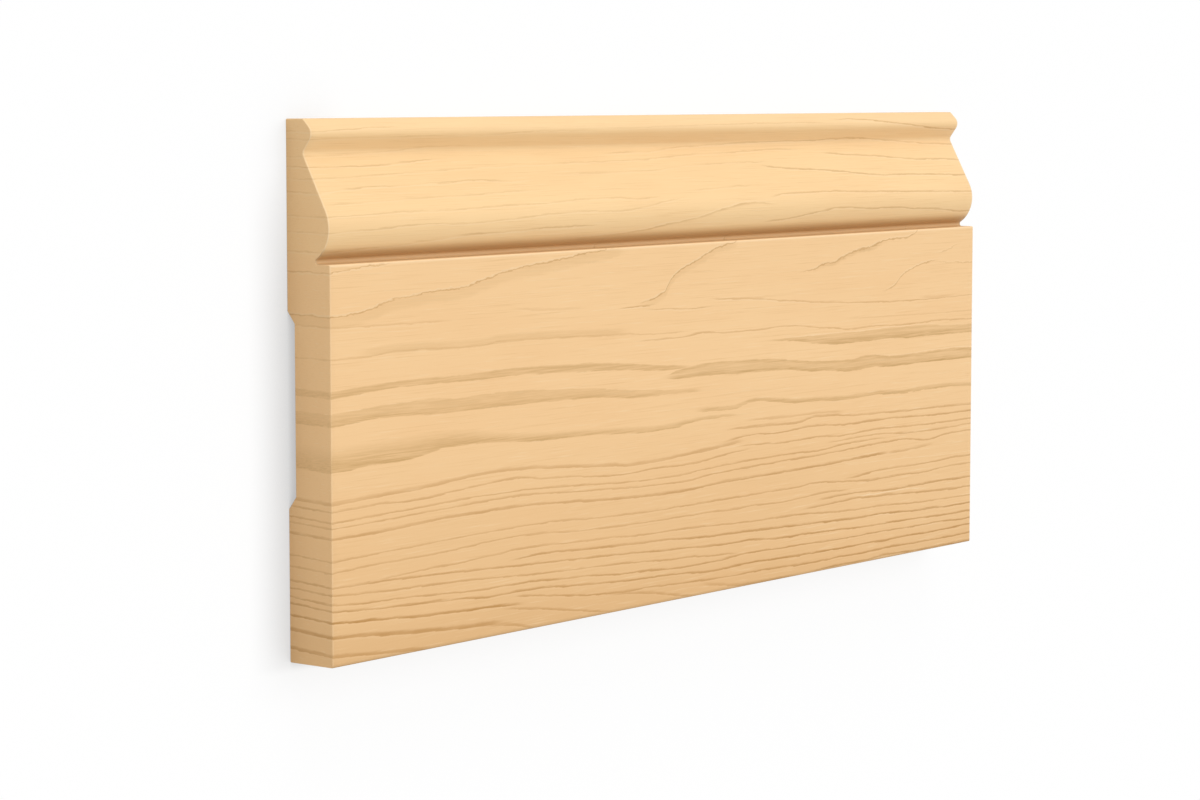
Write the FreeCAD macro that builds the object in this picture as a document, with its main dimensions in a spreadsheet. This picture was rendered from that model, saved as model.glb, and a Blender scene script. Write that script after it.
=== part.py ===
# A length of softwood skirting board, lying on its back with the moulded face up.
# X runs along the board, Y from its bottom edge to its moulded top edge, Z from its back to its
# face. The origin is on the back, under the middle of the board. All sizes are in millimetres.
import FreeCAD, Part
import math
import os

import Sketcher

# Heights are measured down from the top edge and setbacks in from the plain face, because the
# moulding keeps its shape and its place at the top when a board is run taller or thicker.
DIMENSIONS = (
    ("board_length", 372.0, "end to end, square cut"),
    ("board_height", 170.0, "bottom edge to top edge"),
    ("board_thickness", 18.0, "back to plain face"),
    ("top_width", 7.1, "flat of the top edge"),
    ("bead_radius", 3.0, "nose of the small bead under the top edge"),
    ("bead_below_top", 4.5, "top edge to the bead's nose"),
    ("bead_setback", 7.6, "plain face to the bead's nose"),
    ("cove_radius", 2.0, "hollow between the bead and the long slope"),
    ("cove_below_top", 10.6, "top edge to the bottom of the hollow"),
    ("cove_setback", 10.9, "plain face to the bottom of the hollow"),
    ("ovolo_radius", 11.5, "round below the long slope"),
    ("ovolo_below_top", 33.5, "top edge to the round's nose"),
    ("ovolo_setback", 0.4, "plain face to the round's nose"),
    ("quirk_radius", 0.9, "end of the groove between the round and the ledge"),
    ("quirk_setback", 6.0, "plain face to the bottom of that groove"),
    ("relief_depth", 3.0, "channel along the back"),
    ("relief_width", 61.9, "mouth of the channel"),
    ("relief_above_foot", 48.5, "bottom edge to the channel's mouth"),
    ("relief_ramp", 3.9, "rise of each sloping side, along the height"),
    ("arris_radius", 0.5, "eased long edges"),
)
SHEET = "Dimensions"
NODE = "skirting_board"
START, END, CENTRE = 1, 2, 3
ORIGIN = (-1, START)


def make_sheet(doc):
    sheet = doc.addObject("Spreadsheet::Sheet", SHEET)
    for row, (alias, value, meaning) in enumerate(DIMENSIONS, start=1):
        sheet.set(f"A{row}", alias)
        sheet.set(f"B{row}", str(value))
        sheet.set(f"C{row}", meaning)
        sheet.setAlias(f"B{row}", alias)
    doc.recompute()
    return sheet


def add_section_sketch(body, name):
    """A sketch across the board: its x is the board's height, its y the board's thickness."""
    sketch = body.newObject("Sketcher::SketchObject", name)
    planes = [feature for feature in body.Origin.OriginFeatures if feature.Role == "YZ_Plane"]
    sketch.AttachmentSupport = (planes[0], [""])
    sketch.MapMode = "FlatFace"
    return sketch


def line(start, end):
    return Part.LineSegment(start, end)


def arc(centre, radius, start_angle, end_angle):
    circle = Part.Circle(centre, FreeCAD.Vector(0, 0, 1), radius)
    return Part.ArcOfCircle(circle, start_angle, end_angle)


def size(sketch, name, formula, *constraint):
    """A named size in a sketch, bound to the sheet."""
    index = sketch.addConstraint(Sketcher.Constraint(*constraint))
    sketch.renameConstraint(index, name)
    sketch.setExpression(f"Constraints.{name}", formula)


def join(sketch, kind, first, first_end, second, second_end):
    sketch.addConstraint(Sketcher.Constraint(kind, first, first_end, second, second_end))


def cut_through(body, name, sketch, solid):
    """Runs a cutter's outline along the whole board, and says so if it takes nothing away."""
    cut = body.newObject("PartDesign::Pocket", name)
    cut.Profile = sketch
    cut.SideType = "Symmetric"
    cut.setExpression("Length", f"{SHEET}.board_length")
    sketch.Document.recompute()
    if not cut.Shape.Volume < solid.Shape.Volume:
        raise RuntimeError(f"{name} cuts nothing")
    return cut


def plane_blank(body, dims):
    """The rectangular blank, planed all round, before any moulding."""
    sketch = add_section_sketch(body, "blank_section")
    half_height = dims.board_height / 2
    foot_back = FreeCAD.Vector(-half_height, 0, 0)
    top_back = FreeCAD.Vector(half_height, 0, 0)
    top_face = FreeCAD.Vector(half_height, dims.board_thickness, 0)
    foot_face = FreeCAD.Vector(-half_height, dims.board_thickness, 0)
    corners = [foot_back, top_back, top_face, foot_face]
    back, top, face, foot = range(4)
    for here, there in zip(corners, corners[1:] + corners[:1]):
        sketch.addGeometry(line(here, there))
    for side in (back, top, face, foot):
        join(sketch, "Coincident", side, END, (side + 1) % 4, START)
    for side, kind in ((back, "Horizontal"), (top, "Vertical"), (face, "Horizontal"), (foot, "Vertical")):
        sketch.addConstraint(Sketcher.Constraint(kind, side))
    sketch.addConstraint(Sketcher.Constraint("Symmetric", back, START, back, END, *ORIGIN))
    size(sketch, "height", f"{SHEET}.board_height", "DistanceX", back, START, back, END, dims.board_height)
    size(sketch, "thickness", f"{SHEET}.board_thickness", "DistanceY", top, START, top, END, dims.board_thickness)

    blank = body.newObject("PartDesign::Pad", "planed_blank")
    blank.Profile = sketch
    blank.SideType = "Symmetric"
    blank.setExpression("Length", f"{SHEET}.board_length")
    body.Document.recompute()
    return blank


def crossing_tangent(convex_centre, convex_radius, hollow_centre, hollow_radius, turn):
    """Angle of the normal of the line that leaves a round and runs on into a hollow."""
    between = hollow_centre - convex_centre
    lean = math.acos((convex_radius + hollow_radius) / between.Length)
    return math.atan2(between.y, between.x) + turn * lean


def on_circle(centre, radius, angle):
    return centre + FreeCAD.Vector(radius * math.cos(angle), radius * math.sin(angle), 0)


def mould_face(body, dims, blank):
    """The moulding: ledge, quirk, large round, long slope, hollow, bead and bevelled top."""
    sketch = add_section_sketch(body, "face_cutter")
    top_edge = dims.board_height / 2
    face_level = dims.board_thickness

    def centre_of(below_top, depth):
        return FreeCAD.Vector(top_edge - below_top, face_level - depth, 0)

    ovolo = centre_of(dims.ovolo_below_top, dims.ovolo_setback + dims.ovolo_radius)
    cove = centre_of(dims.cove_below_top, dims.cove_setback - dims.cove_radius)
    bead = centre_of(dims.bead_below_top, dims.bead_setback + dims.bead_radius)

    # The quirk's end is a small hollow that the large round runs into, so it touches it outside.
    quirk_level = face_level - dims.quirk_setback + dims.quirk_radius
    reach = dims.ovolo_radius + dims.quirk_radius
    quirk = FreeCAD.Vector(ovolo.x - math.sqrt(reach**2 - (quirk_level - ovolo.y) ** 2), quirk_level, 0)
    quirk_to_ovolo = math.atan2(ovolo.y - quirk.y, ovolo.x - quirk.x)

    slope_normal = crossing_tangent(ovolo, dims.ovolo_radius, cove, dims.cove_radius, 1)
    under_normal = crossing_tangent(bead, dims.bead_radius, cove, dims.cove_radius, -1)
    top_corner = FreeCAD.Vector(top_edge, dims.top_width, 0)
    to_corner = top_corner - bead
    bevel_normal = math.atan2(to_corner.y, to_corner.x) + math.acos(dims.bead_radius / to_corner.Length)

    ledge_inner = on_circle(quirk, dims.quirk_radius, math.pi)
    ledge_outer = FreeCAD.Vector(ledge_inner.x, face_level, 0)
    face_corner = FreeCAD.Vector(top_edge, face_level, 0)
    slope_low = on_circle(ovolo, dims.ovolo_radius, slope_normal)
    slope_high = on_circle(cove, -dims.cove_radius, slope_normal)
    under_low = on_circle(cove, -dims.cove_radius, under_normal)
    under_high = on_circle(bead, dims.bead_radius, under_normal)
    bevel_low = on_circle(bead, dims.bead_radius, bevel_normal)

    outline = [
        line(ledge_outer, ledge_inner),
        arc(quirk, dims.quirk_radius, math.pi, quirk_to_ovolo + 2 * math.pi),
        arc(ovolo, dims.ovolo_radius, slope_normal, quirk_to_ovolo + math.pi),
        line(slope_low, slope_high),
        arc(cove, dims.cove_radius, slope_normal + math.pi, under_normal + math.pi),
        line(under_low, under_high),
        arc(bead, dims.bead_radius, bevel_normal, under_normal),
        line(bevel_low, top_corner),
        line(top_corner, face_corner),
        line(face_corner, ledge_outer),
    ]
    ledge, end, round_, slope, hollow, under, nose, bevel, top, face = range(len(outline))
    sketch.addGeometry(outline)
    join(sketch, "Tangent", ledge, END, end, START)
    join(sketch, "Tangent", end, END, round_, END)
    join(sketch, "Tangent", round_, START, slope, START)
    join(sketch, "Tangent", slope, END, hollow, START)
    join(sketch, "Tangent", hollow, END, under, START)
    join(sketch, "Tangent", under, END, nose, END)
    join(sketch, "Tangent", nose, START, bevel, START)
    join(sketch, "Coincident", bevel, END, top, START)
    join(sketch, "Coincident", top, END, face, START)
    join(sketch, "Coincident", face, END, ledge, START)
    sketch.addConstraint(Sketcher.Constraint("Vertical", ledge))
    sketch.addConstraint(Sketcher.Constraint("Vertical", top))
    sketch.addConstraint(Sketcher.Constraint("Horizontal", face))

    size(sketch, "top_edge", f"{SHEET}.board_height / 2", "DistanceX", *ORIGIN, top, START, top_edge)
    size(sketch, "top_width", f"{SHEET}.top_width", "DistanceY", *ORIGIN, top, START, dims.top_width)
    size(sketch, "face_level", f"{SHEET}.board_thickness", "DistanceY", *ORIGIN, top, END, face_level)
    for name, curve in (("quirk", end), ("ovolo", round_), ("cove", hollow), ("bead", nose)):
        radius = dims.getPropertyByName(f"{name}_radius")
        size(sketch, f"{name}_radius", f"{SHEET}.{name}_radius", "Radius", curve, radius)
        bulge = 1 if name in ("ovolo", "bead") else -1
        depth = dims.getPropertyByName(f"{name}_setback") + bulge * radius
        sign = "+" if bulge > 0 else "-"
        depth_formula = f"{SHEET}.{name}_setback {sign} {SHEET}.{name}_radius"
        size(sketch, f"{name}_depth", depth_formula, "DistanceY", curve, CENTRE, top, END, depth)
        if name == "quirk":
            continue
        below = dims.getPropertyByName(f"{name}_below_top")
        size(sketch, f"{name}_below", f"{SHEET}.{name}_below_top", "DistanceX", curve, CENTRE, top, END, below)
    return cut_through(body, "face_moulding", sketch, blank)


def relieve_back(body, dims, moulded):
    """The shallow channel along the back that lets the board bridge a bump in a wall."""
    sketch = add_section_sketch(body, "relief_cutter")
    near = dims.relief_above_foot - dims.board_height / 2
    far = near + dims.relief_width
    floor_near = near + dims.relief_ramp
    floor_far = far - dims.relief_ramp
    corners = [
        FreeCAD.Vector(near, 0, 0),
        FreeCAD.Vector(far, 0, 0),
        FreeCAD.Vector(floor_far, dims.relief_depth, 0),
        FreeCAD.Vector(floor_near, dims.relief_depth, 0),
    ]
    mouth, far_ramp, floor, near_ramp = range(4)
    for here, there in zip(corners, corners[1:] + corners[:1]):
        sketch.addGeometry(line(here, there))
    for side in (mouth, far_ramp, floor, near_ramp):
        join(sketch, "Coincident", side, END, (side + 1) % 4, START)
    foot = sketch.addGeometry(Part.Point(FreeCAD.Vector(-dims.board_height / 2, 0, 0)), True)
    sketch.addConstraint(Sketcher.Constraint("PointOnObject", foot, START, -1))
    sketch.addConstraint(Sketcher.Constraint("PointOnObject", mouth, START, -1))
    sketch.addConstraint(Sketcher.Constraint("Horizontal", mouth))
    sketch.addConstraint(Sketcher.Constraint("Horizontal", floor))
    sketch.addConstraint(Sketcher.Constraint("Equal", near_ramp, far_ramp))
    half = dims.board_height / 2
    above = dims.relief_above_foot
    size(sketch, "foot", f"{SHEET}.board_height / 2", "DistanceX", foot, START, *ORIGIN, half)
    size(sketch, "above_foot", f"{SHEET}.relief_above_foot", "DistanceX", foot, START, mouth, START, above)
    size(sketch, "width", f"{SHEET}.relief_width", "DistanceX", mouth, START, mouth, END, dims.relief_width)
    size(sketch, "ramp", f"{SHEET}.relief_ramp", "DistanceX", near_ramp, END, near_ramp, START, dims.relief_ramp)
    size(sketch, "depth", f"{SHEET}.relief_depth", "DistanceY", mouth, END, floor, START, dims.relief_depth)
    return cut_through(body, "back_relief", sketch, moulded)


def long_edges_at(shape, places):
    """Names of the edges that run along the board through the given points of the section."""
    names = []
    for number, edge in enumerate(shape.Edges, start=1):
        start, end = edge.Vertexes[0].Point, edge.Vertexes[-1].Point
        along = abs(start.y - end.y) + abs(start.z - end.z) < 1e-6
        if along and any(math.hypot(start.y - y, start.z - z) < 1e-4 for y, z in places):
            names.append(f"Edge{number}")
    if len(names) != len(places):
        raise RuntimeError(f"found {len(names)} long edges, not {len(places)}")
    return names


def ease_arrises(body, dims, relieved, face_cut):
    """Sanded long edges. The ledge's own edge sits where the face cutter's outline starts."""
    half = dims.board_height / 2
    ledge_edge = face_cut.Profile[0].getPoint(0, START)
    places = [
        (-half, 0),
        (-half, dims.board_thickness),
        (ledge_edge.x, dims.board_thickness),
        (half, dims.top_width),
        (half, 0),
    ]
    eased = body.newObject("PartDesign::Fillet", "eased_arrises")
    eased.Base = (relieved, long_edges_at(relieved.Shape, places))
    eased.setExpression("Radius", f"{SHEET}.arris_radius")
    body.Document.recompute()
    return eased


def check(doc, bodies):
    for item in doc.Objects:
        if "Invalid" in item.State or "Error" in item.State:
            raise RuntimeError(f"{item.Label} failed: {item.State}")
    for item in bodies:
        if item.Shape.isNull() or not item.Shape.isValid() or len(item.Shape.Solids) != 1:
            raise RuntimeError(f"{item.Label} is not one valid solid")
        box = item.Shape.BoundBox
        print(item.Label, "mm", [round(v, 3) for v in (box.XLength, box.YLength, box.ZLength)])
        print(item.Label, "litres", round(item.Shape.Volume / 1e6, 4))


def main():
    doc = FreeCAD.newDocument("SkirtingBoard")
    dims = make_sheet(doc)
    body = doc.addObject("PartDesign::Body", NODE)
    body.Label = NODE
    blank = plane_blank(body, dims)
    moulded = mould_face(body, dims, blank)
    relieved = relieve_back(body, dims, moulded)
    body.Tip = ease_arrises(body, dims, relieved, moulded)
    doc.recompute()
    check(doc, [body])
    os.makedirs("parts", exist_ok=True)
    body.Shape.exportStep(f"parts/{body.Label}.step")


main()
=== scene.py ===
# A length of clear pine skirting board, planed and moulded, lying on its back on a pale floor.
# X runs along the board, Y from its foot to its moulded top edge, Z from its back to its face.
# Sizes are in millimetres and are turned into metres where a mesh is made.
import math

import bpy
from mathutils import Matrix, Vector


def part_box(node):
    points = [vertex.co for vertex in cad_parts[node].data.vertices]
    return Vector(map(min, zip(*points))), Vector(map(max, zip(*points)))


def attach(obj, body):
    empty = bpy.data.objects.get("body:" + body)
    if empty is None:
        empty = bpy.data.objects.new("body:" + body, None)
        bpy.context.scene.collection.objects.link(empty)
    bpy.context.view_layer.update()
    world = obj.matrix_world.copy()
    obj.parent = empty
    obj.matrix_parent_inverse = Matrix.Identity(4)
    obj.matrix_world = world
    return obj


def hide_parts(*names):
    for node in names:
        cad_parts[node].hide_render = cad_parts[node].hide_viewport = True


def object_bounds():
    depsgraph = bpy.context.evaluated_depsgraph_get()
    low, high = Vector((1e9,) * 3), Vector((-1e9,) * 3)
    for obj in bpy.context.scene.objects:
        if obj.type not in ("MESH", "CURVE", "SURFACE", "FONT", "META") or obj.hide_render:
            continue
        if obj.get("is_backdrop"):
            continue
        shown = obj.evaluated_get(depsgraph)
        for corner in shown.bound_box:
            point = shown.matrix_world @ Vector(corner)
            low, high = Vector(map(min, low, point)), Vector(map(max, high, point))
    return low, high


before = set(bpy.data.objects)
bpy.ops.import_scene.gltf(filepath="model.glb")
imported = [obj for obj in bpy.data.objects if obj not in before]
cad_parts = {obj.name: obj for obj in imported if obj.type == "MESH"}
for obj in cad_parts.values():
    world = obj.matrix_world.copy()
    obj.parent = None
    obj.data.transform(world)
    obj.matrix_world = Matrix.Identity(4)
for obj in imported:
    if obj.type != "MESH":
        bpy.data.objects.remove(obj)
cad_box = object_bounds()

MM = 0.001
NODE = "skirting_board"
LOW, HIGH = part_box(NODE)
LENGTH, HEIGHT, THICKNESS = ((HIGH - LOW) / MM)[:]

# The moulding, measured down from the top edge and in from the plain face.
TOP_WIDTH = 7.1
BEAD_RADIUS, BEAD_BELOW_TOP, BEAD_SETBACK = 3.0, 4.5, 7.6
COVE_RADIUS, COVE_BELOW_TOP, COVE_SETBACK = 2.0, 10.6, 10.9
OVOLO_RADIUS, OVOLO_BELOW_TOP, OVOLO_SETBACK = 11.5, 33.5, 0.4
QUIRK_RADIUS, QUIRK_SETBACK = 0.9, 6.0
ARRIS_RADIUS = 0.5

# The channel along the back.
RELIEF_DEPTH, RELIEF_WIDTH, RELIEF_ABOVE_FOOT, RELIEF_RAMP = 3.0, 61.9, 48.5, 3.9

# How finely the board's skin is divided, and how far its sawn ends are eased.
FACE_STEP, BACK_STEP, ARC_STEP, ARC_TURN = 0.8, 2.4, 0.5, math.radians(8)
ROWS_ALONG = 150
END_EASE, END_EASE_ROWS = 0.3, 3
# Points nearer to each other than this, in metres, are one. A face that looks along the board by
# this share is a sawn end, and an edge that turns by more than this stays crisp.
SAME_PLACE, END_FACING, CREASE = 1e-7, 0.999, math.radians(32)

# The ways of the marks on the wood, read along the board. Each is a row of points, as
# millimetres from the near end and millimetres above the foot. These two, each used for a ring and
# for the soft shade beside it, slant up the face.
SLANT_NEAR = (
    (-9, 109.0), (8, 109.4), (20, 111.0), (27, 112.8), (40, 114.0), (50, 115.0), (58, 115.0),
    (70, 116.7), (85, 119.7), (100, 121.3), (115, 122.7), (130, 124.3), (137, 124.8), (141, 128.5),
)
SLANT_MIDDLE = (
    (157, 105.6), (165, 107.0), (168, 108.0), (171, 109.0), (173, 112.0), (175, 113.6),
    (178, 115.5), (185, 117.8), (190, 119.3), (195, 121.0), (200, 122.9), (205, 123.6),
    (212, 124.7), (216, 128.5),
)

# Where the late wood of each growth ring comes out on the face: how dark it is, how far it
# reaches before it fades (downwards where negative), and its way.
RINGS = (
    # The foot: close rings that run down and out through the bottom edge.
    (0.70, 1.6, (-9, 4.8), (0, 3.7), (18, 2.4), (30, 1.6), (46, 0.4)),
    (0.85, 1.8, (-9, 10.6), (0, 9.5), (14, 8.6), (30, 7.2), (50, 5.8), (60, 5.2), (72, 4.6),
     (82, 4.3)),
    (0.55, 1.5, (74, 4.2), (82, 3.5), (90, 2.3), (99, 0.3)),
    (0.90, 1.2, (-9, 15.0), (0, 14.1), (20, 12.9), (40, 11.5), (60, 10.6), (80, 9.9), (92, 9.2)),
    (0.65, 1.1, (84, 8.4), (97, 7.0), (115, 4.3), (140, 0.6)),
    (0.50, 1.4, (140, 6.7), (153, 5.5), (165, 4.0), (178, 1.8), (188, 0.4)),
    (0.50, 1.4, (194, 3.7), (206, 2.2), (216, 1.0), (250, 0.4)),
    (0.60, 1.0, (262, 0.7), (280, 1.1), (295, 0.9), (310, 1.5), (330, 0.9), (372, 0.5)),
    (0.70, 1.0, (88, 12.4), (121, 8.5), (129, 7.6), (140, 7.0), (150, 6.5), (160, 6.5), (170, 6.0),
     (190, 5.2), (203, 4.9), (232, 4.6), (251, 4.2), (261, 4.0), (271, 3.9), (280, 4.1), (290, 3.8),
     (306, 3.9), (314, 4.2), (330, 3.8), (345, 3.6), (381, 3.8)),
    (0.75, 1.0, (-9, 18.6), (0, 17.8), (30, 15.9), (60, 14.7), (78, 13.4), (95, 13.5), (120, 12.0),
     (150, 10.2), (170, 9.6), (188, 8.5), (198, 7.9), (210, 8.1), (224, 8.3), (242, 7.8),
     (255, 7.5), (267, 7.5), (284, 7.2), (300, 7.2), (311, 7.0), (325, 7.2), (340, 6.9), (354, 6.8),
     (363, 7.1), (381, 6.8)),
    (0.70, 0.9, (-9, 20.5), (0, 19.8), (20, 18.5), (30, 18.4), (50, 17.4), (78, 16.1), (92, 16.1),
     (112, 15.1), (128, 14.4), (140, 13.3), (150, 12.7), (160, 12.4), (175, 11.5), (200, 11.2),
     (222, 12.0), (244, 11.4), (256, 11.3), (270, 11.0), (282, 10.8), (290, 10.6), (300, 10.8),
     (312, 10.6), (325, 10.3), (340, 10.2), (354, 10.2), (362, 9.6), (381, 9.6)),
    (0.60, 0.9, (-9, 23.4), (0, 22.7), (30, 21.3), (60, 20.4), (95, 18.4), (130, 17.1), (160, 15.7),
     (172, 14.8), (188, 14.3), (198, 13.4), (214, 12.8)),
    (0.70, 1.0, (-9, 25.2), (20, 24.8), (60, 23.5), (100, 21.6), (135, 20.3), (160, 19.0),
     (180, 18.0), (195, 17.2), (209, 16.6), (227, 16.3), (236, 15.4), (250, 15.1), (267, 14.9),
     (292, 13.8), (317, 13.5), (332, 13.1), (344, 12.9), (353, 12.5), (381, 12.5)),
    (0.70, 1.1, (88, 24.4), (100, 24.8), (130, 23.5), (160, 22.4), (172, 22.0), (188, 20.9),
     (212, 20.1), (228, 19.7), (242, 19.1), (255, 18.7), (267, 18.4), (280, 18.0), (292, 17.6),
     (304, 17.6), (317, 17.1), (333, 16.3), (345, 16.2), (355, 15.7), (381, 15.7)),
    (0.50, 0.9, (22, 25.4), (50, 26.2), (62, 26.3), (70, 26.9), (80, 27.0), (90, 27.6), (104, 27.5),
     (120, 26.7), (140, 26.2), (155, 25.3), (172, 25.0), (188, 24.7), (212, 23.6), (227, 23.1),
     (252, 22.8), (267, 21.8), (290, 20.9), (314, 20.4), (330, 19.4), (345, 19.1), (381, 18.7)),
    (0.55, 1.1, (256, 24.5), (275, 24.8), (289, 25.2), (303, 24.7), (320, 24.2), (335, 23.3),
     (352, 22.6), (381, 22.1)),
    (0.60, 1.1, (266, 27.0), (284, 27.4), (300, 26.8), (312, 26.1), (345, 26.5), (381, 25.8)),
    (0.45, 0.9, (-9, 29.0), (10, 30.1), (50, 30.7), (88, 31.9), (130, 30.1), (180, 29.2),
     (200, 29.2), (211, 28.7), (222, 29.0), (240, 28.4), (255, 28.7), (268, 29.4), (284, 28.9)),
    (0.50, 0.9, (-9, 32.9), (20, 33.7), (55, 34.5), (90, 35.0), (116, 34.7), (130, 33.8),
     (180, 32.9), (228, 33.0), (250, 33.0), (262, 33.4), (278, 32.5), (290, 31.8), (303, 31.1),
     (324, 31.2), (336, 30.9), (346, 31.2), (356, 31.7), (381, 31.6)),
    (0.50, 1.0, (284, 33.3), (296, 33.7), (306, 34.5), (325, 34.4), (345, 34.3), (360, 34.8),
     (381, 34.6)),
    # The middle of the face: evenly waved single rings.
    (0.62, 1.3, (-9, 40.2), (20, 40.5), (60, 41.9), (88, 41.9), (115, 40.8), (130, 39.9),
     (150, 39.0), (170, 38.5), (185, 38.3), (200, 39.1), (250, 39.5), (280, 40.0), (312, 40.8)),
    (0.40, 1.3, (312, 40.6), (325, 40.7), (344, 41.4)),
    (0.52, 0.9, (-9, 43.4), (30, 44.1), (60, 44.9), (88, 45.3), (130, 43.4), (180, 41.6),
     (200, 42.7), (245, 43.5), (262, 43.7), (305, 44.7), (320, 45.0), (342, 43.3), (356, 44.6),
     (366, 44.6), (381, 43.7)),
    (0.52, 0.9, (-9, 45.2), (30, 46.0), (70, 47.0), (110, 46.4), (150, 44.4), (180, 44.0),
     (195, 44.9), (250, 45.8), (264, 45.3), (277, 46.1), (292, 46.6), (310, 46.5)),
    (0.54, 0.9, (-9, 48.4), (20, 49.3), (38, 48.9), (65, 50.3), (90, 51.3), (104, 49.9),
     (118, 49.2), (130, 48.1), (150, 47.2), (165, 47.8), (185, 47.5), (205, 48.8), (221, 49.8)),
    (0.50, 0.9, (214, 51.4), (230, 51.0), (242, 50.3), (262, 50.6), (281, 49.7), (305, 50.4),
     (322, 49.8), (345, 49.3), (381, 49.2)),
    (0.42, 0.9, (272, 47.8), (300, 48.4), (325, 47.3), (350, 46.9), (381, 47.4)),
    (0.50, 1.7, (-9, 50.8), (25, 52.1), (50, 53.0), (70, 54.3), (85, 54.5), (110, 53.2),
     (120, 52.5), (130, 51.8), (140, 51.1), (150, 50.3), (175, 50.7), (190, 51.4), (205, 52.4),
     (217, 53.1)),
    (0.55, 1.0, (206, 53.6), (222, 54.8), (240, 54.1), (260, 54.9), (287, 53.7), (310, 53.8),
     (345, 52.6), (381, 52.4)),
    (0.45, 1.2, (208, 57.8), (228, 57.6), (250, 57.0), (264, 58.3), (290, 56.8), (312, 56.2),
     (325, 55.8), (340, 55.7), (381, 54.7)),
    (0.28, 1.2, (220, 60.3), (250, 59.6), (268, 59.4), (282, 58.6)),
    # The upper face: few rings, some of them crossing the face on a slant.
    (0.26, 0.7, (-9, 95.8), (18, 96.0), (30, 97.0), (40, 97.0), (52, 96.5), (70, 96.2), (82, 97.0),
     (100, 96.9), (130, 96.0), (148, 95.5), (162, 94.6), (184, 94.4)),
    (0.40, 0.8, (156, 92.8), (180, 92.6), (193, 93.4), (205, 92.9), (228, 92.5), (240, 93.0),
     (250, 92.8), (262, 91.5), (276, 90.4), (286, 89.4), (302, 89.8), (320, 89.1), (345, 89.4),
     (381, 88.7)),
    (0.26, 0.8, (-9, 106.2), (10, 105.7), (24, 105.4), (54, 105.2)),
    (0.18, 1.3, (88, 107.6), (99, 106.5), (112, 106.0), (126, 105.7)),
    (0.60, 0.6, (144, 104.4), (152, 104.5), (164, 104.8)),
    (0.40, 0.6, (160, 103.3), (175, 102.8), (188, 102.3), (199, 102.7)),
    (0.38, 0.8, (198, 105.2), (215, 104.4), (230, 103.6), (240, 102.4), (250, 101.8), (270, 100.3),
     (290, 99.2), (310, 98.5), (330, 98.1), (350, 98.2), (381, 98.3)),
    (0.18, 1.4, (334, 99.2), (346, 98.8), (360, 98.6)),
    (0.20, 0.7, (286, 93.4), (310, 93.0), (340, 92.4), (381, 92.0)),
    (0.58, -0.6, *SLANT_NEAR),
    (0.62, -0.6, *SLANT_MIDDLE),
    (0.48, -0.7, (254, 112.2), (262, 112.9), (268, 114.5), (275, 114.9), (281, 116.7), (288, 118.2),
     (292, 119.0), (300, 119.8), (305, 121.0), (312, 122.2), (323, 122.4), (331, 124.5),
     (334, 128.0)),
    (0.44, -0.7, (309, 102.6), (317, 105.0), (320, 107.5), (323, 109.0), (330, 110.8), (336, 112.0),
     (346, 113.1)),
    (0.24, -0.6, (346, 112.4), (360, 111.5), (381, 110.6)),
    (0.24, -0.6, (346, 115.8), (352, 116.4), (360, 118.5)),
    # The moulding: thin broken rings on the round, the slope and the bead.
    (0.45, 0.7, (-9, 121.6), (0, 122.6), (10, 123.7), (28, 124.8)),
    (0.42, 0.8, (-9, 128.6), (22, 129.6), (36, 130.3), (56, 131.7), (68, 132.3), (81, 132.5),
     (104, 133.2), (134, 133.4)),
    (0.30, 0.7, (-9, 134.7), (22, 135.6), (45, 136.4), (65, 136.0), (80, 136.5), (94, 136.9),
     (106, 137.7), (125, 138.1), (146, 137.8), (160, 138.7), (170, 140.0), (184, 141.4)),
    (0.28, 0.7, (-9, 139.7), (7, 140.0), (29, 140.5), (60, 140.6), (90, 141.2), (114, 141.6),
     (134, 142.3), (148, 142.1), (160, 141.6), (170, 142.0)),
    (0.22, 0.7, (3, 143.6), (20, 144.0), (45, 144.6), (69, 144.9), (95, 145.7), (109, 145.9)),
    (0.36, 0.7, (-9, 146.6), (4, 147.4), (15, 148.2), (40, 148.7), (60, 149.1), (76, 149.5),
     (95, 149.0), (106, 149.2)),
    (0.20, 0.7, (118, 150.6), (141, 150.6), (171, 150.9), (189, 151.8)),
    (0.24, 0.7, (-9, 151.2), (6, 151.4), (32, 152.1), (60, 152.9), (82, 153.6), (120, 154.1),
     (160, 154.4), (180, 155.0), (200, 155.9), (230, 156.4), (248, 157.0), (266, 156.6)),
    (0.42, 0.7, (-9, 154.9), (0, 154.9), (28, 155.0), (40, 155.4), (51, 156.0), (64, 156.5)),
    (0.20, 0.7, (-9, 157.9), (10, 158.3), (23, 158.7), (42, 159.3), (56, 160.4), (78, 160.6)),
    (0.32, 0.7, (148, 156.9), (175, 157.3), (186, 158.2), (212, 159.0), (240, 159.7), (277, 159.9),
     (305, 160.4), (320, 159.7), (345, 158.3), (381, 156.8)),
    (0.22, 0.6, (-9, 163.4), (30, 163.8), (66, 164.1), (89, 164.2), (112, 165.0), (142, 164.9)),
    (0.36, 0.6, (-9, 165.7), (0, 165.9), (18, 166.5), (28, 167.0), (40, 167.0)),
    (0.20, 0.6, (150, 165.4), (190, 166.0), (228, 166.5), (255, 166.6), (280, 166.4)),
    (0.38, -1.0, (124, 128.8), (148, 129.6), (161, 130.6), (172, 132.0), (182, 132.9), (190, 133.8),
     (204, 136.2), (216, 137.9), (224, 138.2), (237, 137.5)),
    (0.22, 0.7, (190, 143.5), (212, 144.3), (226, 144.5)),
    (0.20, 0.7, (188, 152.1), (216, 152.6), (243, 152.7)),
    (0.40, 0.8, (238, 151.2), (256, 149.9), (273, 149.2), (290, 148.1), (303, 147.0), (341, 146.2),
     (381, 145.2)),
    (0.36, 0.8, (236, 140.4), (246, 141.2), (275, 141.3), (300, 140.6), (340, 139.8),
     (381, 138.7)),
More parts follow.
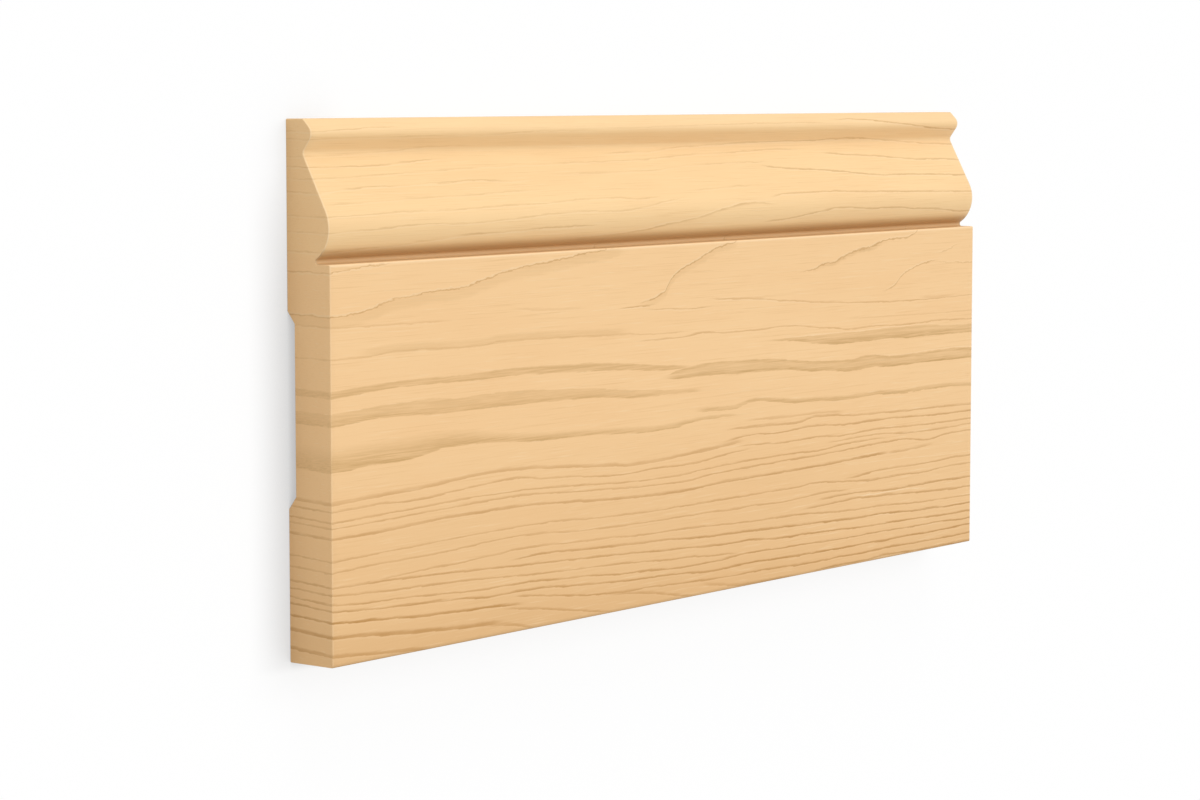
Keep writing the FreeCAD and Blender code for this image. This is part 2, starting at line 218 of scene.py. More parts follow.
    (0.36, 0.8, (232, 131.4), (245, 131.8), (265, 134.0), (281, 135.1), (305, 134.3), (320, 134.3),
     (329, 133.5), (346, 132.8), (358, 131.8), (381, 131.1)),
    (0.34, 0.8, (280, 155.2), (296, 154.3), (316, 153.5), (334, 152.3), (363, 151.6),
     (381, 150.7)),
    (0.44, 0.7, (286, 167.7), (310, 167.2), (325, 166.2), (340, 165.1), (355, 163.9),
     (381, 162.8)),
)

# Soft wide shades beside some of the rings, given as the rings are. Those that reach downwards,
# below the slanting rings, are partly darker late wood and partly painted shade under their edges.
SOFT_SHADES = (
    (0.44, 2.1, (190, 66.0), (200, 65.6), (210, 65.3), (216, 65.8), (220, 66.6), (226, 67.0),
     (233, 66.6), (240, 65.8), (250, 64.8), (262, 64.4), (288, 63.6), (305, 63.9), (322, 63.1),
     (342, 63.5), (381, 62.2)),
    (0.18, 3.4, (14, 96.0), (30, 97.0), (40, 97.0), (52, 96.5), (70, 96.2), (82, 97.0), (100, 96.9),
     (130, 96.0), (150, 95.4)),
    (0.13, -5.0, *SLANT_NEAR),
    (0.15, -3.4, *SLANT_MIDDLE),
    (0.26, -2.4, (262, 112.9), (268, 114.5), (275, 114.9), (281, 116.7), (288, 118.2), (292, 119.0),
     (300, 119.8), (305, 121.0), (310, 121.8)),
)

# The wide bands, where a ring is cut nearly flat: how dark each is from its lower edge, at 0, to
# its upper edge, at 1, and the ways of the two edges.
BANDS = (
    (((0, 0.50), (0.10, 0.48), (0.38, 0.37), (1, 0)),
     ((-9, 60.5), (0, 60.8), (20, 61.8), (38, 62.2), (45, 63.1), (55, 64.4), (70, 64.5), (80, 63.8),
      (100, 62.8), (130, 62.2), (150, 61.2), (165, 60.7), (177, 60.8), (184, 61.8), (195, 62.5),
      (215, 62.3)),
     ((-9, 68.8), (20, 69.6), (45, 70.2), (65, 69.6), (85, 67.0), (110, 65.2), (130, 64.5),
      (150, 63.5), (170, 62.9), (184, 63.7), (195, 63.9), (215, 63.2))),
    (((0, 0.47), (0.26, 0.39), (0.60, 0.26), (0.90, 0.27), (1, 0)),
     ((-9, 74.4), (0, 75.1), (15, 76.0), (25, 76.4), (40, 76.0), (60, 75.4), (80, 75.7),
      (100, 75.4), (130, 74.9), (137, 74.5), (150, 73.3), (170, 72.9), (192, 72.9)),
     ((-9, 78.6), (0, 79.2), (15, 80.0), (30, 80.6), (50, 80.7), (60, 80.0), (75, 80.4), (92, 80.3),
      (108, 79.4), (130, 78.2), (150, 76.3), (170, 74.8), (192, 73.8))),
    (((0, 0.41), (0.75, 0.39), (1, 0)),
     ((-9, 83.4), (0, 83.9), (20, 85.0), (40, 85.6), (62, 85.2), (90, 85.3), (110, 84.6),
      (130, 84.0), (150, 83.0), (165, 81.9), (186, 81.2)),
     ((-9, 86.0), (0, 86.3), (20, 87.2), (30, 87.6), (50, 87.6), (62, 87.4), (84, 88.0),
      (100, 87.8), (115, 87.3), (130, 86.9), (145, 85.9), (160, 84.5), (186, 82.2))),
    (((0, 0.58), (0.16, 0.50), (0.42, 0.28), (0.62, 0.25), (0.78, 0.40), (0.92, 0.42), (1, 0)),
     ((171, 78.6), (178, 78.0), (200, 78.0), (212, 77.5), (230, 77.2), (245, 77.0), (252, 76.1),
      (262, 75.2), (275, 74.5), (287, 73.6), (300, 74.1), (318, 73.6), (335, 73.8), (355, 73.5),
      (381, 73.0)),
     ((171, 79.6), (178, 81.0), (190, 82.2), (197, 82.6), (215, 82.2), (230, 81.8), (245, 80.7),
      (255, 79.6), (268, 78.7), (285, 78.1), (300, 79.0), (312, 77.8), (330, 77.6), (357, 78.0),
      (381, 76.8))),
    (((0, 0.56), (0.22, 0.48), (0.50, 0.36), (0.62, 0.25), (0.85, 0.28), (1, 0)),
     ((233, 87.9), (250, 87.1), (262, 85.6), (275, 84.5), (300, 84.3), (312, 84.6), (328, 83.8),
      (345, 83.8), (381, 83.2)),
     ((233, 88.5), (260, 88.5), (290, 88.4), (320, 88.5), (340, 88.2), (355, 87.3), (381, 86.8))),
    # Below the near slanting ring: partly darker late wood, partly painted shade under its edge.
    (((0, 0.14), (0.6, 0.18), (0.92, 0.20), (1, 0)),
     ((86, 119.4), (100, 119.6), (115, 119.9), (130, 120.8), (148, 122.8)),
     ((86, 119.9), (100, 121.4), (115, 122.8), (130, 124.4), (148, 125.5))),
)

# Painted highlights: thin pale lines beside some of the rings, standing in for the lit edge of
# the raised late wood, given as the rings are.
PAINTED_HIGHLIGHT_LINES = (
    (0.45, 0.4, (243, 88.6), (260, 88.6), (290, 88.5), (320, 88.6), (346, 88.3)),
    (0.50, 0.5, (162, 107.0), (168, 108.5), (171, 109.6), (174, 113.2), (178, 116.0),
     (186, 118.4)),
    (0.35, 0.4, (292, 38.2), (318, 37.6), (345, 36.6), (381, 36.0)),
    (0.45, 0.4, (318, 77.2), (340, 78.2), (362, 78.3), (381, 77.2)),
    (0.70, 0.5, (290, 25.9), (305, 25.5), (320, 25.4), (338, 24.6)),
    (0.40, 0.4, (296, 17.3), (326, 16.5), (366, 15.3)),
    (0.40, 0.4, (270, 11.2), (310, 10.4), (350, 9.6)),
)

# Across a ring, in millimetres: half the width of its sharp side, how far the painted highlight
# beside it reaches, and how pale that highlight is beside how dark the ring is.
SHARP_SIDE, HIGHLIGHT_SIDE, HIGHLIGHT_SHARE = 0.13, 0.55, 0.60
# How far a mark takes to fade where its way starts or stops on the board.
FADE_ALONG = 9.0
# How far a ring climbs for each millimetre in from the face, near the foot and near the top.
CLIMB_AT_FOOT, CLIMB_AT_TOP = 0.07, 0.02
# How far the rings sway, follow the streaks of the wood, and fray, in millimetres. Those that
# slant up the face fray more.
SWAY, STREAK_SWAY, FRAY, SLANT_FRAY = 0.78, 0.9, 0.2, 0.9

# Colours of the bare wood, and of the light and shade painted on it, as linear red, green and blue.
EARLY_WOOD = (0.925, 0.612, 0.312, 1)
# Paler and yellower: partly the moulding's own tone, partly painted light for its lit slope.
MOULDING_WOOD_AND_PAINTED_LIGHT = (0.935, 0.643, 0.328, 1)
BAND_WOOD = (0.500, 0.282, 0.082, 1)
RING_WOOD = (0.490, 0.240, 0.058, 1)
# Pale wood for the flecks, and painted highlight for the arrises and beside the rings.
PALE_WOOD_AND_HIGHLIGHT = (0.960, 0.720, 0.440, 1)
FOOT_WOOD = (0.763, 0.470, 0.215, 1)
WARM_WOOD = (0.860, 0.520, 0.240, 1)
FIBRE_WOOD = (0.720, 0.430, 0.180, 1)
END_WOOD = (1.000, 0.640, 0.310, 1)
# Painted shade: the dark brown laid into the quirk under the ovolo, where shade falls.
QUIRK_PAINTED_SHADE_WOOD = (0.260, 0.135, 0.040, 1)

# The ledge's arris, where a pale highlight is painted, above the foot and out from the back.
LEDGE_UP, LEDGE_OUT = HEIGHT - 44.8, THICKNESS - 0.3

# The painted shade in the quirk, a darker brown standing in for the shade under the ovolo: its
# middle above the foot and out from the back, how far it reaches, and its greatest share.
QUIRK_UP, QUIRK_OUT, QUIRK_SHADE_REACH, QUIRK_SHADE = 127.5, 13.2, 4.8, 0.52

# The bare wood's finish: how rough its smoothest and its roughest streaks are, how much it
# shines, and how strongly and how high the fibre stands up from it.
SMOOTHEST, ROUGHEST, SHINE = 0.52, 0.64, 0.3
FIBRE_RELIEF, FIBRE_HEIGHT = 0.35, 0.06

# The camera, set out from the board: it looks along the board from the near end, and down.
LENS, SENSOR = 99.69, 36.0
CAMERA_AT = (-935.1, 94.1, 713.4)
CAMERA_TURN, CAMERA_TIP = math.radians(38.213), math.radians(5.348)

# The light: an even sky, a wide window past the far end, and a low one above the moulded edge.
# Each gives its share of white on the face. A window has the way towards it and its spread.
SKY_LIGHT = 0.6
WINDOWS = (
    (0.33, Vector((0.6, 0.45, 1.0)), math.radians(40)),
    (0.06, Vector((0.0, 1.5, 0.6)), math.radians(30)),
)

# The floor: how far it runs each way and how far it lies under the board. The camera sees it as
# white by the share of its glow, with a dark line of a given depth and reach at the near end.
FLOOR_REACH, FLOOR_DROP = 6000, 0.1
FLOOR_GREY = (0.8, 0.8, 0.8, 1)
FLOOR_GLOW, CONTACT_SHADE, CONTACT_REACH = 0.85, 0.50, 18.0
WHITE, BLACK = (1, 1, 1, 1), (0, 0, 0, 1)


class Wire:
    """What a node puts out. Arithmetic on wires adds the nodes that work it out."""

    def __init__(self, graph, socket):
        self.graph, self.socket = graph, socket

    def math(self, operation, *others):
        return self.graph.node("ShaderNodeMath", {"operation": operation}, (self, *others))

    def math_from(self, operation, other):
        return self.graph.node("ShaderNodeMath", {"operation": operation}, (other, self))

    def __add__(self, other):
        return self.math("ADD", other)

    def __sub__(self, other):
        return self.math("SUBTRACT", other)

    def __mul__(self, other):
        return self.math("MULTIPLY", other)

    def __truediv__(self, other):
        return self.math("DIVIDE", other)

    def __rsub__(self, other):
        return self.math_from("SUBTRACT", other)

    def __rtruediv__(self, other):
        return self.math_from("DIVIDE", other)

    __radd__ = __add__
    __rmul__ = __mul__

    def times_plus(self, factor, term):
        return self.math("MULTIPLY_ADD", factor, term)

    def between(self, low, high):
        """A value that is low where this one is 0 and high where it is 1."""
        return self.times_plus(high - low, low)

    def ease(self, start, end):
        """Goes smoothly from one (place, value) to another, and is level beyond both."""
        inputs = {
            "Value": self,
            "From Min": start[0],
            "From Max": end[0],
            "To Min": start[1],
            "To Max": end[1],
        }
        return self.graph.node("ShaderNodeMapRange", {"interpolation_type": "SMOOTHSTEP"}, inputs)

    def parts(self):
        """The x, y and z of a vector."""
        split = self.graph.node("ShaderNodeSeparateXYZ", {}, (self,))
        return [Wire(self.graph, socket) for socket in split.socket.node.outputs]


class Graph:
    """Adds nodes to one node tree."""

    def __init__(self, tree):
        self.tree = tree

    def node(self, kind, settings, inputs=(), output=0):
        """One node: its settings first, then the values of its sockets, or the wires into them."""
        made = self.tree.nodes.new(kind)
        for name, value in settings.items():
            if name == "points":
                self.set_points(made.mapping, value)
            else:
                setattr(made, name, value)
        for key, value in inputs.items() if isinstance(inputs, dict) else enumerate(inputs):
            if isinstance(value, Wire):
                self.tree.links.new(value.socket, made.inputs[key])
            else:
                made.inputs[key].default_value = value
        return Wire(self, made.outputs[output])

    def end(self, kind, name, result):
        """Leads the result into the tree's last node."""
        self.tree.links.new(result.socket, self.tree.nodes.new(kind).inputs[name])

    @staticmethod
    def set_points(mapping, points):
        """Draws a smooth curve through the points, level before the first and after the last."""
        mapping.use_clip, mapping.extend = False, "HORIZONTAL"
        curve = mapping.curves[0]
        while len(curve.points) < len(points):
            curve.points.new(1, 1)
        for place, (x, y) in zip(curve.points, points):
            place.location = (x, y)
            place.handle_type = "AUTO_CLAMPED"
        mapping.update()

    def curve(self, value, points):
        """A curve drawn through points that lie between 0 and 1 along it, read at a value."""
        return self.node("ShaderNodeFloatCurve", {"points": points}, {"Value": value})

    def vector(self, x, y, z):
        return self.node("ShaderNodeCombineXYZ", {}, (x, y, z))

    def mix(self, first, second, share):
        """A colour between two, all the second where share is 1."""
        return self.node("ShaderNodeMix", {"data_type": "RGBA"}, {0: share, 6: first, 7: second}, 2)

    def noise(self, x, y, z, detail=2.0, roughness=0.5):
        """Soft random values round a half, with about one change for each unit of x, y and z."""
        inputs = {
            "Vector": self.vector(x, y, z),
            "Scale": 1.0,
            "Detail": detail,
            "Roughness": roughness,
        }
        return self.node("ShaderNodeTexNoise", {"noise_dimensions": "3D"}, inputs)


def empty_graph(holder):
    """The graph of a material or a world, with nothing in it yet."""
    holder.use_nodes = True
    holder.node_tree.nodes.clear()
    return Graph(holder.node_tree)


# The board's section.


def normal_between(this, other):
    """Way the surface faces, in radians, on the straight run from one round to the next."""
    across, out = other[0] - this[0], other[1] - this[1]
    lean = (this[2] - other[2]) / math.hypot(across, out)
    return math.atan2(out, across) + math.acos(max(-1.0, min(1.0, lean)))


def on_round(circle, normal):
    y, z, radius = circle
    return (y + radius * math.cos(normal), z + radius * math.sin(normal))


def eased_corner(y, z, before, after, radius):
    """The round that eases a corner between surfaces that face two ways."""
    first = Vector((math.cos(before), math.sin(before)))
    second = Vector((math.cos(after), math.sin(after)))
    centre = Vector((y, z)) - radius * (first + second) / (1 + first.dot(second))
    return (centre.x, centre.y, radius)


def section_rounds():
    """The rounds that the outline passes, each as height, depth from the back, and radius.

    It goes up the face, over the moulding and down the back. A hollow's radius is negative, and
    a sharp corner's is nothing.
    """
    top, foot, face = HEIGHT / 2, -HEIGHT / 2, THICKNESS
    ovolo = (top - OVOLO_BELOW_TOP, face - OVOLO_SETBACK - OVOLO_RADIUS, OVOLO_RADIUS)
    cove = (top - COVE_BELOW_TOP, face - COVE_SETBACK + COVE_RADIUS, -COVE_RADIUS)
    bead = (top - BEAD_BELOW_TOP, face - BEAD_SETBACK - BEAD_RADIUS, BEAD_RADIUS)

    quirk_depth = face - QUIRK_SETBACK + QUIRK_RADIUS
    reach = OVOLO_RADIUS + QUIRK_RADIUS
    quirk_height = ovolo[0] - math.sqrt(reach**2 - (quirk_depth - ovolo[1]) ** 2)
    quirk = (quirk_height, quirk_depth, -QUIRK_RADIUS)
    ledge = (quirk_height - QUIRK_RADIUS - ARRIS_RADIUS, face - ARRIS_RADIUS, ARRIS_RADIUS)

    bevel_normal = normal_between(bead, (top, TOP_WIDTH, 0))
    mouth = foot + RELIEF_ABOVE_FOOT
    return [
        (foot + ARRIS_RADIUS, ARRIS_RADIUS, ARRIS_RADIUS),
        (foot + ARRIS_RADIUS, face - ARRIS_RADIUS, ARRIS_RADIUS),
        ledge,
        quirk,
        ovolo,
        cove,
        bead,
        eased_corner(top, TOP_WIDTH, bevel_normal, 0, ARRIS_RADIUS),
        (top - ARRIS_RADIUS, ARRIS_RADIUS, ARRIS_RADIUS),
        (mouth + RELIEF_WIDTH, 0, 0),
        (mouth + RELIEF_WIDTH - RELIEF_RAMP, RELIEF_DEPTH, 0),
        (mouth + RELIEF_RAMP, RELIEF_DEPTH, 0),
        (mouth, 0, 0),
    ]


def round_points(circle, start, turn):
    """Points over one round, each with the way that the surface faces there."""
    y, z, radius = circle
    if not radius:
        return [((y, z), start + turn / 2)]
    steps = math.ceil(max(abs(turn) / ARC_TURN, abs(turn * radius) / ARC_STEP, 1))
    normals = [start + turn * step / steps for step in range(steps + 1)]
    return [(on_round(circle, normal), normal) for normal in normals]


def run_points(start, end, normal):
    """Points along a straight run between two rounds, without its ends."""
    start, end = Vector(start), Vector(end)
    at_back = max(start.y, end.y) <= RELIEF_DEPTH
    pieces = int((end - start).length / (BACK_STEP if at_back else FACE_STEP))
    return [(start.lerp(end, piece / pieces)[:], normal) for piece in range(1, pieces)]


def section_outline():
    """Points of the outline, each with the way that the surface faces there."""
    rounds = section_rounds()
    following = rounds[1:] + rounds[:1]
    leaving = [normal_between(this, other) for this, other in zip(rounds, following)]
    arriving = leaving[-1:] + leaving[:-1]
    outline = []
    for this, other, start, end in zip(rounds, following, arriving, leaving):
        turn = (end - start + math.pi) % math.tau - math.pi
        outline += round_points(this, start, turn)
        outline += run_points(on_round(this, end), on_round(other, end), end)
    return outline


def outline_mesh():
    """The outline as a closed line of edges that carries its place and the way it faces."""
    outline = section_outline()
    places = [Vector((0, y, z)) * MM for (y, z), _ in outline]
    kept = [i for i, place in enumerate(places) if (place - places[i - 1]).length > SAME_PLACE]
    mesh = bpy.data.meshes.new("board_section")
    edges = [(i, (i + 1) % len(kept)) for i in range(len(kept))]
    mesh.from_pydata([(places[i].y, places[i].z, 0) for i in kept], edges, [])
    section = mesh.attributes.new("section", "FLOAT_VECTOR", "POINT")
    outward = mesh.attributes.new("outward", "FLOAT_VECTOR", "POINT")
    for row, i in enumerate(kept):
        normal = outline[i][1]
        section.data[row].vector = places[i]
        outward.data[row].vector = (0, math.cos(normal), math.sin(normal))
    return mesh


# The board, run along its length by Geometry Nodes.


def station(index, rows, length):
    """Distance of each row along the board: close ones at each eased end, even ones between."""
    quarter = math.pi / 2 / END_EASE_ROWS
    ease = END_EASE * MM
    first = index.math("MINIMUM", float(END_EASE_ROWS))
    last = (rows - 1 - index).math("MINIMUM", float(END_EASE_ROWS))
    inner = (index - END_EASE_ROWS) / (rows - 1 - 2 * END_EASE_ROWS)
    inner = inner.math("MAXIMUM", 0.0).math("MINIMUM", 1.0)
    near_end = ease * (1 - (first * quarter).math("COSINE"))
    far_end = ease * (last * quarter).math("COSINE")
    return near_end + inner * (length - 2 * ease) + far_end - length / 2


def end_inset(x, length):
    """How far the outline draws in where the sawn ends are eased."""
    ease = END_EASE * MM
    short = (ease - (length / 2 - x.math("ABSOLUTE"))).math("MAXIMUM", 0.0)
    return ease - (ease * ease - short * short).math("MAXIMUM", 0.0).math("SQRT")


def run_outline(graph, outline, length, rows):
    """The outline run along the board's length and closed at both ends."""
    line = graph.node("GeometryNodeCurvePrimitiveLine", {}, {"End": (1, 0, 0)})
    inputs = {"Curve": line, "Count": rows}
    line = graph.node("GeometryNodeResampleCurve", {"mode": "COUNT"}, inputs)
    index = graph.node("GeometryNodeInputIndex", {})
    place = graph.vector(station(index, rows, length), 0.0, 0.0)
    line = graph.node("GeometryNodeSetPosition", {}, {"Geometry": line, "Position": place})
    section = graph.node("GeometryNodeMeshToCurve", {}, {"Mesh": outline})
    inputs = {"Curve": line, "Profile Curve": section, "Fill Caps": True}
    board = graph.node("GeometryNodeCurveToMesh", {}, inputs)
    return graph.node("GeometryNodeFlipFaces", {}, {"Mesh": board})


def ease_ends(graph, board, length):
    """Puts each point in its place on the section, drawn in a little at the sawn ends."""
    kept = {"data_type": "FLOAT_VECTOR"}
    x, _, _ = graph.node("GeometryNodeInputPosition", {}).parts()
    section = graph.node("GeometryNodeInputNamedAttribute", kept, {"Name": "section"})
    outward = graph.node("GeometryNodeInputNamedAttribute", kept, {"Name": "outward"})
    (_, y, z), (_, face_y, face_z) = section.parts(), outward.parts()
    inset = end_inset(x, length)
    place = graph.vector(x, y - face_y * inset, z - face_z * inset)
    return graph.node("GeometryNodeSetPosition", {}, {"Geometry": board, "Position": place})


def shade_smooth(graph, board, domain, smooth, chosen=True):
    inputs = {"Geometry": board, "Selection": chosen, "Shade Smooth": smooth}
    return graph.node("GeometryNodeSetShadeSmooth", {"domain": domain}, inputs)


def smooth_rounds(graph, board):
    """Shades the rounds smoothly, and leaves the sawn ends and the sharp corners crisp."""
    greater = {"operation": "GREATER_THAN"}
    facing, _, _ = graph.node("GeometryNodeInputNormal", {}).parts()
    sawn = graph.node("FunctionNodeCompare", greater, (facing.math("ABSOLUTE"), END_FACING))
    angle = graph.node("GeometryNodeInputMeshEdgeAngle", {})
    crease = graph.node("FunctionNodeCompare", greater, (angle, CREASE))
    board = shade_smooth(graph, board, "FACE", True)
    board = shade_smooth(graph, board, "FACE", False, sawn)
    return shade_smooth(graph, board, "EDGE", False, crease)


def board_tree(material):
    """The tree that makes the board from its outline, with its length and rows as inputs."""
    tree = bpy.data.node_groups.new("run_board", "GeometryNodeTree")
    sockets = {
        "Outline": "NodeSocketGeometry",
        "Length": "NodeSocketFloat",
        "Rows": "NodeSocketInt",
    }
    for name, kind in sockets.items():
        tree.interface.new_socket(name, in_out="INPUT", socket_type=kind)
    tree.interface.new_socket("Board", in_out="OUTPUT", socket_type="NodeSocketGeometry")
    graph = Graph(tree)
    given = tree.nodes.new("NodeGroupInput")
    outline, length, rows = (Wire(graph, given.outputs[name]) for name in sockets)

    board = run_outline(graph, outline, length, rows)
    board = ease_ends(graph, board, length)
    board = smooth_rounds(graph, board)
    board = graph.node("GeometryNodeRealizeInstances", {}, (board,))
    board = graph.node("GeometryNodeSetMaterial", {}, {"Geometry": board, "Material": material})
    graph.end("NodeGroupOutput", "Board", board)
    return tree


def as_plain_mesh(name, source):
    """The shape that a modifier makes, as an object of its own with nothing left to work out."""
    evaluated = source.evaluated_get(bpy.context.evaluated_depsgraph_get())
    mesh = bpy.data.meshes.new_from_object(evaluated)
    bpy.data.objects.remove(source)
    mesh.name = name
    made = bpy.data.objects.new(name, mesh)
    bpy.context.scene.collection.objects.link(made)
    return made


def make_board(material):
    source = bpy.data.objects.new("board_outline", outline_mesh())
    bpy.context.scene.collection.objects.link(source)
    modifier = source.modifiers.new("run", "NODES")
    modifier.node_group = board_tree(material)
    values = {"Length": LENGTH * MM, "Rows": ROWS_ALONG}
    for item in modifier.node_group.interface.items_tree:
        if item.in_out == "INPUT" and item.name in values:
            modifier[item.identifier] = values[item.name]
    board = as_plain_mesh("dressed_board", source)
    for name in ("section", "outward"):
        attribute = board.data.attributes.get(name)
        if attribute:
            board.data.attributes.remove(attribute)
    return board


# The growth rings. Their ways are set out along the board as shares of the whole reach, from 0
# to 1, and up it as shares of its height.


def run_share(x):
    return (x + FADE_ALONG) / (LENGTH + 2 * FADE_ALONG)


def way_height(graph, run, way):
    """How high a way is at each place along the board."""
    return graph.curve(run, [(run_share(x), height / HEIGHT) for x, height in way])


def fade_at_ends(mark, run, way):
    """Lets a mark fade where its way starts or stops short of the board's ends."""
    first, last = way[0][0], way[-1][0]
    if first <= 0 and last >= LENGTH:
        return mark
    points = [(0, 1), (1, 1)]
    if first > 0:
        fading = run_share(first - FADE_ALONG / 2), run_share(first + FADE_ALONG)
        points[:1] = [(0, 0), (fading[0], 0), (fading[1], 1)]
    if last < LENGTH:
        fading = run_share(last - FADE_ALONG), run_share(last + FADE_ALONG / 2)
        points[-1:] = [(fading[0], 1), (fading[1], 0), (1, 0)]
    return mark * mark.graph.curve(run, points)


def ring_mark(graph, run, height, ring):
    """One growth ring: sharp on one side and fading away on the other.

    It is over nothing where the late wood is, and under nothing on the painted highlight, a pale
    line along its sharp side that stands in for the lit edge of the raised late wood. Its way runs
    through the middle of the dark part.
    """
    depth, reach, *way = ring
    side, reach = math.copysign(1, reach), abs(reach)
    # Both from the sharp side: the dark part's middle, and how far it stays nearly as dark.
    middle = min(0.35 * reach, 0.55)
    steady = SHARP_SIDE + 0.06 + min(0.6, 0.15 * reach) * reach
    span = HIGHLIGHT_SIDE + 1.05 * reach
    across = (
        (-HIGHLIGHT_SIDE, 0),
        (-0.75 * HIGHLIGHT_SIDE, -HIGHLIGHT_SHARE * depth),
        (-SHARP_SIDE, -HIGHLIGHT_SHARE * depth),
        (SHARP_SIDE, depth),
        (steady, 0.92 * depth),
        (reach, 0),
        (span - HIGHLIGHT_SIDE, 0),
    )
    lead = height.times_plus(side / span, (HIGHLIGHT_SIDE + middle) / span)
    place = way_height(graph, run, way).times_plus(-HEIGHT * side / span, lead)
    mark = graph.curve(place, [((aside + HIGHLIGHT_SIDE) / span, dark) for aside, dark in across])
    return fade_at_ends(mark, run, way)


def band_mark(graph, run, height, band):
    """A wide band of late wood between two edges."""
    shades, low_way, high_way = band
    above = way_height(graph, run, low_way).times_plus(-HEIGHT, height)
    below = way_height(graph, run, high_way).times_plus(HEIGHT, -1 * height)
    share = graph.curve(above / (above + below), shades)
    return fade_at_ends(share * above.ease((-2 * SHARP_SIDE, 0), (2 * SHARP_SIDE, 1)), run, low_way)


def gather(marks, *operations):
    """What each operation, such as MAXIMUM, makes of all the marks at each place.

    The marks are taken in one by one, because a material can hold only so many at a time.
    """
    results = None
    for mark in marks:
        results = results or [mark] * len(operations)
        results = [
            result if result is mark else result.math(operation, mark)
            for result, operation in zip(results, operations)
        ]
    return results


def ring_height(graph, along, up, out, streak):
    """Height above the foot as the rings have it: they climb towards the back, sway and fray.

    The rings that slant up the face, over its plain upper part, fray most.
    """
    climb = up.ease((10, CLIMB_AT_FOOT), (120, CLIMB_AT_TOP))
    sway = graph.noise(along / 7, up / 2.5, out / 6, 3.0, 0.55) - 0.5
    fray = graph.noise(along / 2.2, up / 1.5, out / 4, 1.0) - 0.5
    slanted = up.ease((106, 0), (110, SLANT_FRAY)) * up.ease((127, 0), (124, 1))
    height = up - climb * (THICKNESS - out) + sway * SWAY + (streak - 0.5) * STREAK_SWAY
    return height + fray * (slanted + FRAY)


def ring_strength(graph, along, up, out):
    """How much of a thin ring shows: most of it on the face, and broken lengths on the moulding."""
    broken = up.ease((126, 0), (128, 0.4)) * along.ease((250, 0), (190, 1))
    strength = graph.noise(along / 22, up / 3, out / 9).ease((0.3, 0), (0.65, 1))
    strength = strength * (broken + 0.36) + (0.62 - broken * 1.25)
    return strength + along.ease((100, 0), (300, 0.22))


def band_strength(streak, fibre):
    """How much of a wide band shows among the pale streaks and fibres that run through it."""
    return streak.ease((0.34, 0.4), (0.66, 1.0)) + fibre.ease((0.62, 0), (0.42, 0.5))


def ring_marks(graph, run, height, rings):
    return (ring_mark(graph, run, height, ring) for ring in rings)


def growth_rings(graph, along, up, out, streak, fibre):
    """Marks of the thin rings, of the wide bands and soft shades, and of the painted highlights."""
    height = ring_height(graph, along, up, out, streak)
    run = along.times_plus(1 / (LENGTH + 2 * FADE_ALONG), run_share(0))
    late, pale = gather(ring_marks(graph, run, height, RINGS), "MAXIMUM", "MINIMUM")
    bands = [band_mark(graph, run, height, band) for band in BANDS]
    bands += ring_marks(graph, run, height, SOFT_SHADES)
    [bands] = gather(bands, "MAXIMUM")
    # The painted highlights: pale lines beside the rings, where raised late wood would catch light.
    [lines] = gather(ring_marks(graph, run, height, PAINTED_HIGHLIGHT_LINES), "MAXIMUM")
    late = late * ring_strength(graph, along, up, out)
    lines = lines.math("MAXIMUM", pale * up.ease((96, -0.2), (104, -1.0)))
    return late, bands * band_strength(streak, fibre), lines


# The wood.


def board_place(graph):
    """Where a point of the wood is: along the board, above its foot and out from its back."""
    x, y, z = graph.node("ShaderNodeTexCoord", {}, (), "Object").parts()
    return x.times_plus(1 / MM, LENGTH / 2), y.times_plus(1 / MM, HEIGHT / 2), z / MM


def sawn_ends(along):
    """The wood that the saw has cut, a fifth of a millimetre deep at each end."""
    near, far = along.ease((0.2, 0), (0.05, 1)), along.ease((LENGTH - 0.2, 0), (LENGTH - 0.05, 1))
    return near.math("MAXIMUM", far)


def away_from(up, out, middle_up, middle_out):
    """Distance from a line that runs the length of the board."""
    aside, deep = up - middle_up, out - middle_out
    return (aside * aside + deep * deep).math("SQRT")


def painted_arris_highlight(along, up, out):
    """A painted highlight, pale where light catches: at the sawn ends, two long arrises and the
    bead.
    """
    near, far = along.ease((1.0, 0), (0.3, 0.6)), along.ease((LENGTH - 1.0, 0), (LENGTH - 0.3, 0.6))
    painted_highlight = near.math("MAXIMUM", far) * up.ease((120, 0.4), (127, 1.0))
    for middle_up, middle_out, share in ((HEIGHT, TOP_WIDTH, 0.2), (LEDGE_UP, LEDGE_OUT, 0.6)):
        arris = away_from(up, out, middle_up, middle_out).ease((1.1, 0), (0.3, share))
        painted_highlight = painted_highlight.math("MAXIMUM", arris)
    return painted_highlight.math("MAXIMUM", up.ease((164.5, 0), (167, 0.12)))


def painted_quirk_shade_and_dark_foot(up, out):
    """Painted shade in the quirk under the ovolo, and a darker strip at the very foot."""
    quirk = away_from(up, out, QUIRK_UP, QUIRK_OUT).ease((QUIRK_SHADE_REACH, 0), (0.6, QUIRK_SHADE))
    return quirk.math("MAXIMUM", up.ease((1.5, 0), (0.1, 0.3)))


def foot_tone(along, up):
    """How far the wood has turned to the foot's colour, a little less towards the far end."""
    darker = up.ease((85, 0), (15, 0.6)) * along.ease((220, 1), (320, 0.65))
    return darker + up.ease((18, 0), (0, 0.4))


def warm_tone(graph, along, up, out):
    """Soft warm patches, and a warmer stretch between two bands towards the near end."""
    patches = graph.noise(along / 60, up / 12, out / 12).ease((0.35, 0), (0.75, 0.22))
    stretch = along.ease((190, 0), (90, 0.11)) * up.ease((100, 0), (88, 1))
    return patches + stretch * up.ease((58, 0), (68, 1))


def pale_flecks(along, up, streak):
    """Short pale streaks, stronger over the lower half towards the far end."""
    stronger = up.ease((90, 0), (40, 0.35)) * along.ease((200, 0), (320, 1))
    return streak.ease((0.54, 0), (0.78, 0.45)) * (stronger + 0.65)


